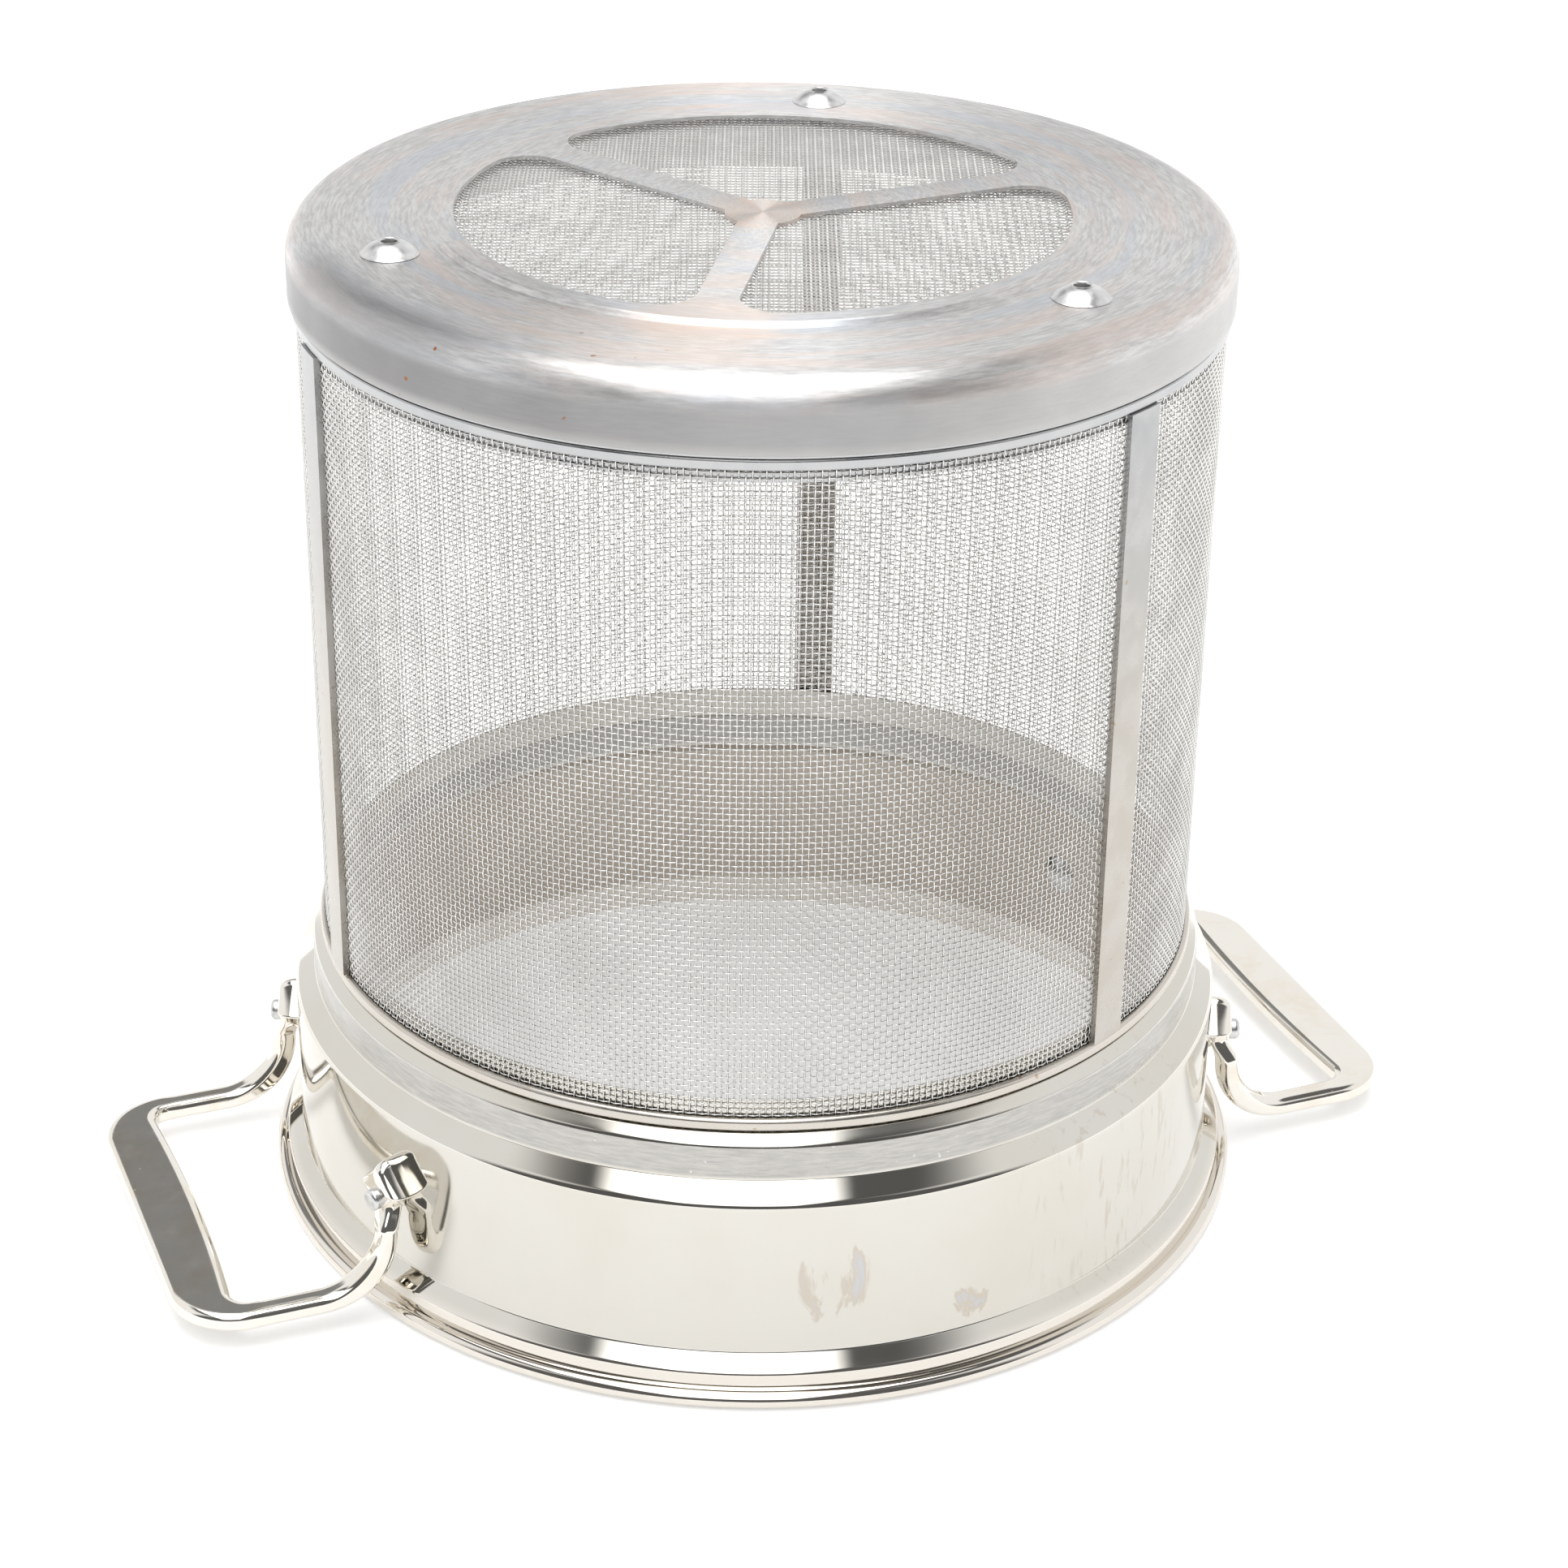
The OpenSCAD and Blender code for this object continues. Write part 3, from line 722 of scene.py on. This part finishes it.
def disc_wires(first, last, turn, side):
    """Parallel wires of the disc, numbers `first` to `last`, as tubes turned by `turn` degrees.

    side is the side of the cloth that wire 0 is on at its first crossing: 1 or -1.
    """
    hole_r = 3.6 * MM
    half = int(DISC_R / (WIRE_PITCH / 2))
    wire = np.arange(first, last)[:, None]
    place = np.arange(-half, half + 1)[None, :]
    u, v = (wire + 0.5) * WIRE_PITCH, place * WIRE_PITCH / 2
    z = (DISC_Z0 + DISC_Z1) / 2 + WIRE_R * over_under(wire, place, side)
    a = math.radians(turn)
    x = v * math.cos(a) - u * math.sin(a)
    y = v * math.sin(a) + u * math.cos(a)
    keep = np.hypot(x, y) < DISC_R
    for name in FOOT_NODES:
        lo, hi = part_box(name)
        centre = (lo + hi) / 2
        keep &= np.hypot(x - centre.x, y - centre.y) > hole_r
    points = np.stack([x, y, z], axis=-1)
    across = np.broadcast_to((-math.sin(a), math.cos(a), 0.0), points.shape)
    return tubes(points, across, keep)


def base_cloth():
    """The wire disc under the cap, in four strips of each of its two sets of wires."""
    turn = 24
    half = int(DISC_R / WIRE_PITCH)
    edges = [-half, -half // 2, 0, half // 2, half]
    for i, (first, last) in enumerate(zip(edges, edges[1:])):
        parts = [disc_wires(first, last, turn, 1.0), disc_wires(first, last, turn + 90, -1.0)]
        woven(f"wire_disc_{i + 1}", parts, "base_mesh")


# ---- Rivets ----
def foot_profile(lo, hi):
    """Half the section of a domed blind rivet with a hole, from the corners of its CAD box."""
    sunk, under_brim = 0.02 * MM, 0.1 * MM
    hole_r, lip_r = 1.9 * MM, 0.5 * MM
    shank_r, tail_r, tail_top_r = 3.2 * MM, 4.0 * MM, 4.8 * MM
    head_r = (hi.x - lo.x) / 2
    rise = hi.z - BODY_H + under_brim
    dome_r = (head_r ** 2 + rise ** 2) / (2 * rise)
    slope = math.degrees(math.asin(head_r / dome_r))
    top = math.degrees(math.asin((hole_r + lip_r) / dome_r))
    brim = [(head_r - 0.15 * MM, BODY_H - sunk), (head_r, BODY_H + under_brim)]
    dome = arc((0, hi.z + under_brim - dome_r), dome_r, 90 - slope, 90 - top, 14)
    lip = arc((hole_r + lip_r, hi.z - lip_r), lip_r, 80, 180, 6)
    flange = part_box("clamp_ring")[1].z - 1.0 * MM
    under = [
        (hole_r, lo.z + 0.2 * MM),
        (hole_r + 0.3 * MM, lo.z),
        (tail_r, lo.z, 0.3 * MM),
        (tail_top_r, lo.z + 0.8 * MM, 0.3 * MM),
        (tail_top_r, flange, 0.2 * MM),
        (shank_r, flange),
        (shank_r, BODY_H - sunk),
    ]
    return brim + dome[1:] + lip + rounded(under, 4, closed=False)


def cap_rivets():
    """Three domed blind rivets, the feet, each with a rounded hole through its middle."""
    for i, name in enumerate(FOOT_NODES):
        lo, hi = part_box(name)
        centre = (lo + hi) / 2
        place = Matrix.Translation((centre.x, centre.y, 0))
        profile = foot_profile(lo, hi)
        foot = lathe(f"foot_rivet_{i + 1}", profile, RIVET, 96, place)
        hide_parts(name)


def pad_rivet_profile():
    """Half the section of a solid rivet, as distances from its own axis and the basket's."""
    tip = WALL_R + 8.8 * MM
    shank_r, edge_r, flat_r = 2.75 * MM, 1.2 * MM, 0.9 * MM
    head_r, head_h = 5.5 * MM, 2.2 * MM
    seat = math.sqrt((WALL_R - SHEET_T) ** 2 - head_r ** 2)
    dome_r = (head_r ** 2 + head_h ** 2) / (2 * head_h)
    spread = math.degrees(math.asin(head_r / dome_r))
    head = arc((0, seat - head_h + dome_r), dome_r, -90, spread - 90, 12)
    button = arc((shank_r - edge_r, tip - 1.35 * MM), edge_r, 0, 78, 8)
    crown = [(flat_r, tip - 0.03 * MM), (0.0, tip)]
    return [(0.0, head[0][1])] + head[1:] + [(shank_r, seat)] + button + crown


def handle_rivets():
    """Four solid rivets: a low dome inside the collar and a rounded button outside the pad."""
    profile = pad_rivet_profile()
    outward = Matrix.Rotation(math.pi / 2, 4, "Y")
    for i, angle in enumerate(RIVET_ANGLES):
        name = f"handle_rivet_{i + 1}"
        lo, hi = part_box(name)
        turn = Matrix.Rotation(math.radians(angle), 4, "Z")
        place = turn @ Matrix.Translation((0, 0, (lo.z + hi.z) / 2)) @ outward
        rivet = lathe(f"pad_rivet_{i + 1}", profile, RIVET, 72, place)
        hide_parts(name)


# ---- Handles ----
def section(half_a, half_b, edge_a, edge_b):
    """A rectangle with rounded corners, as (a, b) points.

    edge_a and edge_b are how far a corner reaches along the two sides that meet there.
    """
    steps, flats, most = 6, 4, 0.96
    edge_a, edge_b = min(edge_a, half_a * most), min(edge_b, half_b * most)
    out = []
    for quarter in range(4):
        sa, sb = ((1, 1), (-1, 1), (-1, -1), (1, -1))[quarter]
        turn = np.linspace(0, math.pi / 2, steps + 1)
        if quarter % 2:
            turn = turn[::-1]
        a = sa * (half_a - edge_a + edge_a * np.cos(turn))
        b = sb * (half_b - edge_b + edge_b * np.sin(turn))
        points = list(zip(a, b))
        if out:
            out += between(out[-1], points[0], flats)
        out += points
    return np.array(out + between(out[-1], out[0], flats))


def between(a, b, count):
    """Points between two points. The outer ones are near the ends, so that the flat stays flat."""
    inset = 0.06
    shares = [inset] + [i / (count - 1) for i in range(1, count - 1)] + [1 - inset]
    return [(a[0] + (b[0] - a[0]) * s, a[1] + (b[1] - a[1]) * s) for s in shares]


class Station:
    """One cross-section of a handle: its centre, its two directions and its size."""

    def __init__(self, centre, wide, thick, half_a, half_b, edge_a, edge_b):
        self.centre = np.array(centre, dtype=float)
        self.wide = np.array(wide, dtype=float)
        self.thick = np.array(thick, dtype=float)
        self.shape = (half_a, half_b, edge_a, edge_b)

    def points(self):
        flat = section(*self.shape)
        return self.centre + flat[:, :1] * self.wide + flat[:, 1:] * self.thick


def level_station(outer, inner, z, half_t):
    """A level cross-section between a point on the outer edge and one on the inner edge."""
    outer, inner = np.array(outer), np.array(inner)
    span = outer - inner
    width = np.linalg.norm(span)
    wide = (span[0] / width, span[1] / width, 0)
    edge_a, edge_b = min(2.6 * MM, 0.3 * width), 1.7 * MM
    centre = (*(outer + inner) / 2, z)
    return Station(centre, wide, (0, 0, 1), width / 2, half_t, edge_a, edge_b)


def handle_half(grip):
    """Stations of the half with y above 0, from the middle of the grip to the stem's top."""
    half_t = grip["t"] / 2
    z = grip["z"] + half_t
    outer_r, inner_r, bend_r = grip["corner_r"], grip["inner_r"], grip["bend_r"]
    outer_c = (grip["out"] - outer_r, grip["half"] - outer_r)
    inner_c = (grip["in"] - inner_r, grip["half"] - grip["arm_w"] - inner_r)
    stations = []
    for share in np.linspace(0, 1, 12):
        outer = (grip["out"], outer_c[1] * share)
        inner = (grip["in"] - grip["bow"] * (1 - share ** 2), inner_c[1] * share)
        stations.append(level_station(outer, inner, z, half_t))
    for a in np.radians(np.linspace(0, 90, 15)[1:]):
        outer = (outer_c[0] + outer_r * math.cos(a), outer_c[1] + outer_r * math.sin(a))
        inner = (inner_c[0] + inner_r * math.cos(a), inner_c[1] + inner_r * math.sin(a))
        stations.append(level_station(outer, inner, z, half_t))
    arm_y = grip["half"] - grip["arm_w"] / 2
    half_w = grip["arm_w"] / 2
    across, up = (0, 1, 0), (0, 0, 1)
    edge_a, edge_b, swell = 2.5 * MM, 1.9 * MM, 0.5 * MM
    bend_x, bend_z = grip["leg_x"] + bend_r, z + bend_r
    for share in np.linspace(0, 1, 8)[1:-1]:
        centre = (inner_c[0] + (bend_x - inner_c[0]) * share, arm_y, z)
        stations.append(Station(centre, across, up, half_w, half_t, edge_a, edge_b))
    for a in np.radians(np.linspace(-90, -180, 19)):
        centre = (bend_x + bend_r * math.cos(a), arm_y, bend_z + bend_r * math.sin(a))
        inward = (-math.cos(a), 0, -math.sin(a))
        thicker = half_t + swell * math.sin(2 * a) ** 2
        stations.append(Station(centre, across, inward, half_w, thicker, edge_a, edge_b))
    return stations + stem(grip, bend_z, arm_y)


def stem(grip, bend_z, arm_y):
    """Stations up the stem, which turns to face out from the wall and ends inside the pad."""
    stations = []
    below_middle, gap = 3.0 * MM, 0.2 * MM
    edge_a, edge_b = 2.0 * MM, 1.6 * MM
    top_z = grip["pad_z"] - below_middle
    half_t = grip["stem_t"] / 2
    leg = np.array((grip["leg_x"], arm_y))
    pad_angle = math.radians(PAD_ANGLE)
    on_wall = np.array((math.cos(pad_angle), math.sin(pad_angle)))
    on_wall *= WALL_R + half_t + gap
    for share in np.linspace(0, 1, 16)[1:]:
        z = bend_z + (top_z - bend_z) * share
        ease = share * share * (3 - 2 * share)
        angle = pad_angle * ease
        wide = (-math.sin(angle), math.cos(angle), 0)
        out = (math.cos(angle), math.sin(angle), 0)
        centre = (*(leg * (1 - ease) + on_wall * ease), z)
        half_w = (grip["arm_w"] * (1 - ease) + grip["stem_w"] * ease) / 2
        stations.append(Station(centre, wide, out, half_w, half_t, edge_a, edge_b))
    return stations


def pad_outline(half_w, half_h):
    """A diamond seen from outside, with slightly bulging sides and soft upper and lower tips."""
    soft, sharp, bulge = 2.2 * MM, 0.5 * MM, 0.32 * MM
    tips = [(0, half_h, soft), (-half_w, 0, sharp), (0, -half_h, soft), (half_w, 0, sharp)]
    points = []
    for i, tip in enumerate(tips):
        points.append(tip)
        start, end = Vector(tip[:2]), Vector(tips[(i + 1) % 4][:2])
        along = end - start
        aside = Vector((-along.y, along.x)).normalized() * bulge
        points += [tuple(start + along * share + aside) for share in (0.36, 0.64)]
    return np.array(rounded(points, 5))


def pad(grip, side):
    """A diamond block on the wall, rounded over deeply towards a slightly domed face.

    Each ring is the outline at a scale and a distance from the axis. side is 1 or -1.
    """
    half_w, half_h = grip["pad_half_w"], grip["pad_half_h"]
    inset, deep, dome, sunk = 2.2 * MM, 4.8 * MM, 0.5 * MM, 0.6 * MM
    outline = pad_outline(half_w, half_h)
    reach = half_w * half_h / math.hypot(half_w, half_h)
    face = WALL_R + grip["pad_t"]
    rings = [(1.0, WALL_R - sunk), (1.0, face - deep)]
    for a in np.radians(np.linspace(0, 78, 10)[1:]):
        scale = 1 - inset * (1 - math.cos(a)) / reach
        rings.append((scale, face - deep * (1 - math.sin(a))))
    edge, height = rings[-1]
    rings += [(edge * share, height + dome * (1 - share ** 2)) for share in (0.75, 0.5, 0.25)]
    turn = Matrix.Rotation(math.radians(side * PAD_ANGLE), 3, "Z")
    verts = []
    for scale, r in rings:
        verts += [turn @ Vector((r, y * scale, grip["pad_z"] + z * scale)) for y, z in outline]
    count = len(outline)
    faces = [tuple(q) for q in ring_faces(len(rings), count, True, False)]
    return verts, faces + [tuple(range(count))[::-1], tuple(range(len(verts) - count, len(verts)))]


def skin(stations):
    """A closed skin over stations; each end is closed by a fan of triangles."""
    rings = np.array([s.points() for s in stations])
    total, count = rings.shape[:2]
    verts = [Vector(p) for p in rings.reshape(-1, 3)]
    faces = [tuple(q) for q in ring_faces(total, count, True, False)]
    for end in (0, total - 1):
        base = end * count
        verts.append(Vector(rings[end].mean(axis=0)))
        faces += [(base + i, base + (i + 1) % count, len(verts) - 1) for i in range(count)]
    return verts, faces


def solid(name, verts, faces, flip):
    """A closed mesh object; a flip of -1 turns it half a turn round Z, to the left handle."""
    mesh = bpy.data.meshes.new(name)
    mesh.from_pydata([(v.x * flip, v.y * flip, v.z) for v in verts], [], faces)
    piece = bpy.data.objects.new(name, mesh)
    bpy.context.scene.collection.objects.link(piece)
    fix_normals(piece)
    return piece


def mirrored(station):
    """The same station on the other side of the handle's middle."""
    flip = np.array((1, -1, 1))
    centre, wide, thick = station.centre * flip, station.wide * flip, station.thick * flip
    return Station(centre, wide, thick, *station.shape)


def handles():
    """Two cast loop handles, each a bent loop joined to its two diamond pads.

    Of the grip, "out" and "in" are its outer and inner edge, "bow" how far the inner one bulges,
    "half" and "arm_w" half the loop's and all the arm's width, "t" and "z" its thickness and
    underside. "leg_x" is where the arm has bent upward to. The pad's values end the list.
    """
    lo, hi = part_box("handle_right")
    grip = {
        "out": hi.x, "in": hi.x - 14.1 * MM, "bow": 1.6 * MM,
        "half": hi.y - 1.5 * MM, "arm_w": 6.8 * MM, "t": 5.0 * MM, "z": lo.z,
        "corner_r": 17 * MM, "inner_r": 4.5 * MM, "bend_r": 17.5 * MM,
        "leg_x": WALL_R - 4.6 * MM, "stem_t": 5.2 * MM, "stem_w": 7.2 * MM,
        "pad_z": hi.z - 8.3 * MM, "pad_t": 6.2 * MM,
        "pad_half_w": 7.9 * MM, "pad_half_h": 8.9 * MM,
    }
    half = handle_half(grip)
    stations = [mirrored(s) for s in reversed(half[1:])] + half
    for name, flip in (("right", 1), ("left", -1)):
        loop = solid("loop_handle_" + name, *skin(stations), flip)
        loop.data.materials.append(CAST)
        cut(loop, [solid("pad", *pad(grip, side), flip) for side in (-1, 1)], "UNION")
        loop.data.polygons.foreach_set("use_smooth", np.ones(len(loop.data.polygons), dtype=bool))
        loop.data.set_sharp_from_angle(angle=math.radians(CAST_SMOOTH))
        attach(loop, "root")
        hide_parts("handle_" + name)


# ---- Kept CAD nodes ----
def finish_node(name, material):
    """Gives a CAD node its material. Returns the node."""
    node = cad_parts[name]
    node.data.materials.clear()
    node.data.materials.append(material)
    return node


def soften(node, width):
    """Bevels the edges of a node that are sharper than 40 degrees."""
    change = node.modifiers.new("bevel", "BEVEL")
    change.width = width
    change.segments = 2
    change.limit_method = "ANGLE"
    change.angle_limit = math.radians(40)
    change.harden_normals = False


def kept_nodes():
    """The strips, the pins and the clamp ring are shown as they are in the CAD model."""
    for i in (1, 2, 3):
        soften(finish_node(f"stay_strip_{i}", STRIP), 0.35 * MM)
        finish_node(f"rivet_pin_{i}", PIN)
    finish_node("clamp_ring", BAND)


# ---- Stage ----
def floor():
    """A wide white floor, a little brighter far away so that it reads as pure white everywhere."""
    half, grey, white = 40.0, (0.77, 0.77, 0.77), (1.0, 1.0, 1.0)
    near_r, far_r, near_glow, far_glow = 0.35, 1.3, 0.36, 0.75
    mesh = bpy.data.meshes.new("floor")
    corners = [(-half, -half, 0), (half, -half, 0), (half, half, 0), (-half, half, 0)]
    mesh.from_pydata(corners, [], [(0, 1, 2, 3)])
    plane = bpy.data.objects.new("floor", mesh)
    bpy.context.scene.collection.objects.link(plane)
    s = Shader("white_floor", 0.0)
    s.set(Base_Color=grey, Roughness=0.9, Specular_IOR_Level=0.1)
    glow = s.ramp(s.radius(), near_r, far_r, near_glow, far_glow)
    s.set(Emission_Color=white, Emission_Strength=glow)
    mesh.materials.append(s.material)


def step(tree, value, low, high):
    """A soft step from 0 to 1 as value goes from low to high."""
    node = tree.nodes.new("ShaderNodeMapRange")
    node.interpolation_type = "SMOOTHSTEP"
    tree.links.new(value, node.inputs["Value"])
    node.inputs["From Min"].default_value = low
    node.inputs["From Max"].default_value = high
    return node.outputs[0]


def combine(tree, operation, a, b):
    """The result of a Math node on two inputs, each a socket or a number."""
    node = tree.nodes.new("ShaderNodeMath")
    node.operation = operation
    for socket, value in zip(node.inputs, (a, b)):
        if isinstance(value, bpy.types.NodeSocket):
            tree.links.new(value, socket)
        else:
            socket.default_value = value
    return node.outputs[0]


def view_directions(tree):
    """A direction as its shares to the camera's right, to the back and up."""
    coord = tree.nodes.new("ShaderNodeTexCoord")
    turn = tree.nodes.new("ShaderNodeVectorRotate")
    turn.rotation_type = "Z_AXIS"
    turn.inputs["Angle"].default_value = math.radians(-CAMERA_TURN)
    tree.links.new(coord.outputs["Generated"], turn.inputs["Vector"])
    split = tree.nodes.new("ShaderNodeSeparateXYZ")
    tree.links.new(turn.outputs[0], split.inputs[0])
    return split.outputs


def dark_room(tree, right, back, up):
    """1 where the room is dark: overhead, in front, and in the upper left of the back."""
    overhead = step(tree, up, 0.75, 0.84)
    front = step(tree, back, -0.30, -0.55)
    left = combine(tree, "MULTIPLY", step(tree, right, -0.04, -0.11), step(tree, up, 0.44, 0.50))
    left = combine(tree, "MULTIPLY", left, step(tree, back, 0.50, 0.65))
    dark = combine(tree, "MAXIMUM", overhead, front)
    return combine(tree, "MAXIMUM", dark, combine(tree, "MULTIPLY", left, 0.85))


def inside_span(tree, way, up, middle, outer, inner):
    """1 where way / up is within `inner` of the middle, falling to 0 at `outer`."""
    place = combine(tree, "SUBTRACT", combine(tree, "DIVIDE", way, up), middle)
    return step(tree, combine(tree, "ABSOLUTE", place, 0.0), outer, inner)


def surroundings():
    """The studio as steel reflects it.

    A softbox overhead reaches towards the camera, the surround is white low down at the back and
    the sides, and the rest of the room is dark.
    """
    white, darkening, box_light = 1.28, 1.12, 2.6
    world = bpy.data.worlds.new("studio")
    bpy.context.scene.world = world
    world.use_nodes = True
    tree = world.node_tree
    tree.nodes.clear()
    out = tree.nodes.new("ShaderNodeOutputWorld")
    background = tree.nodes.new("ShaderNodeBackground")
    tree.links.new(background.outputs[0], out.inputs["Surface"])
    right, back, up = view_directions(tree)
    darker = combine(tree, "MULTIPLY", dark_room(tree, right, back, up), darkening)
    level = combine(tree, "SUBTRACT", white, darker)
    box = inside_span(tree, right, up, -0.10, 0.43, 0.33)
    box = combine(tree, "MULTIPLY", box, inside_span(tree, back, up, -0.50, 1.15, 0.95))
    box = combine(tree, "MULTIPLY", box, step(tree, up, 0.30, 0.40))
    level = combine(tree, "ADD", level, combine(tree, "MULTIPLY", box, box_light))
    tree.links.new(level, background.inputs["Strength"])


def key_light():
    """One very large soft light overhead, a little to the camera's side."""
    side, power = 1.2, 9.0
    place = view_turn() @ Vector((-0.05, -0.12, 1.60))
    aim = Vector((0, 0, 0.12))
    lamp = bpy.data.lights.new("key", "AREA")
    lamp.shape = "RECTANGLE"
    lamp.size = side
    lamp.size_y = side
    lamp.energy = power
    key = bpy.data.objects.new("key", lamp)
    bpy.context.scene.collection.objects.link(key)
    facing = (aim - place).to_track_quat("-Z", "Y")
    key.matrix_world = Matrix.Translation(place) @ facing.to_matrix().to_4x4()


# ---- Camera ----
def view_turn():
    """The turn round Z that brings -Y to the camera's side of the basket."""
    return Matrix.Rotation(math.radians(CAMERA_TURN), 4, "Z")


def camera():
    """The photograph's camera: 32.7 degrees above the rim plane, on the left front."""
    distance, height = 0.8288, 0.5313
    pitch, yaw, roll = (math.radians(angle) for angle in (27.32, 0.478, 0.834))
    ahead = Vector((math.sin(yaw), math.cos(yaw), 0.0)) * math.cos(pitch)
    ahead.z = -math.sin(pitch)
    right = Vector((math.cos(yaw), -math.sin(yaw), 0.0))
    up = right.cross(ahead)
    rolled = right * math.cos(roll) + up * math.sin(roll)
    up = up * math.cos(roll) - right * math.sin(roll)
    axes = Matrix((rolled, up, -ahead)).transposed().to_4x4()
    place = view_turn() @ Vector((0.0, -distance, height))
    data = bpy.data.cameras.new("camera")
    data.lens = 83.47
    data.sensor_width = 36.0
    data.clip_start = 0.02
    view = bpy.data.objects.new("camera", data)
    view.matrix_world = Matrix.Translation(place) @ view_turn() @ axes
    bpy.context.scene.collection.objects.link(view)
    bpy.context.scene.camera = view


# ---- The scene ----
MIRROR = mirror_collar()
CAP = satin_cap()
BAND = satin_band("satin_band", 0.44, 0.56)
STRIP = satin_band("satin_strip", 0.38, 0.46)
WIRE = drawn_wire()
RIVET = bright_rivet()
CAST = cast_handle()
PIN = dark_pin()

camera()
floor()
surroundings()
key_light()
collar_shell()
cap_shell()
lower_hoop()
upper_hoop()
side_cloth()
base_cloth()
cap_rivets()
handle_rivets()
handles()
kept_nodes()
bpy.context.scene.view_settings.view_transform = "Standard"
